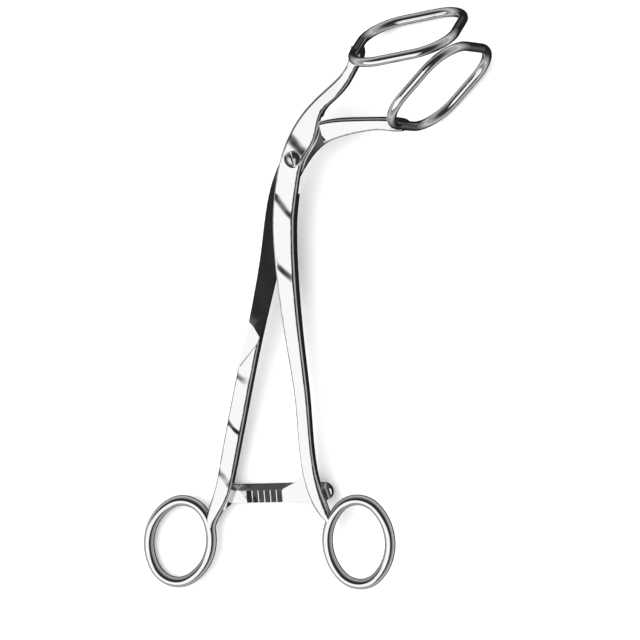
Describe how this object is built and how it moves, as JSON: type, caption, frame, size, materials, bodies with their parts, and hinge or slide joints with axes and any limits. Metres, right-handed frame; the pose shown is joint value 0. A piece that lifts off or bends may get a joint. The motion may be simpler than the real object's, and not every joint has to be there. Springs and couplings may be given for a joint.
{
  "type": "uterine elevating forceps",
  "caption": "Long ring-handled surgical forceps with crossed halves, a screw joint, a side ratchet and jaws bent to one side that end in wide open loops.",
  "frame": {"origin": "where the pivot axis meets the flat back face of the joint", "axes": "+Z along the pivot axis from the flat back to the screw head, +Y from the finger rings to the joint, +X to the side that the jaws bend towards"},
  "size_m": [0.1186, 0.2219, 0.0386],
  "materials": {
    "polished_steel": "mirror polished",
    "screw_steel": "polished"
  },
  "bodies": {
    "rear": {"rear_half": "polished_steel", "pivot_screw": "screw_steel"},
    "front": {"front_half": "polished_steel"}
  },
  "joints": [
    {"name": "jaw_pivot", "type": "hinge", "parent": "rear", "child": "front", "pos_m": [0, 0, 0.003], "axis": [0, 0, 1], "range_deg": [0, 28]}
  ]
}
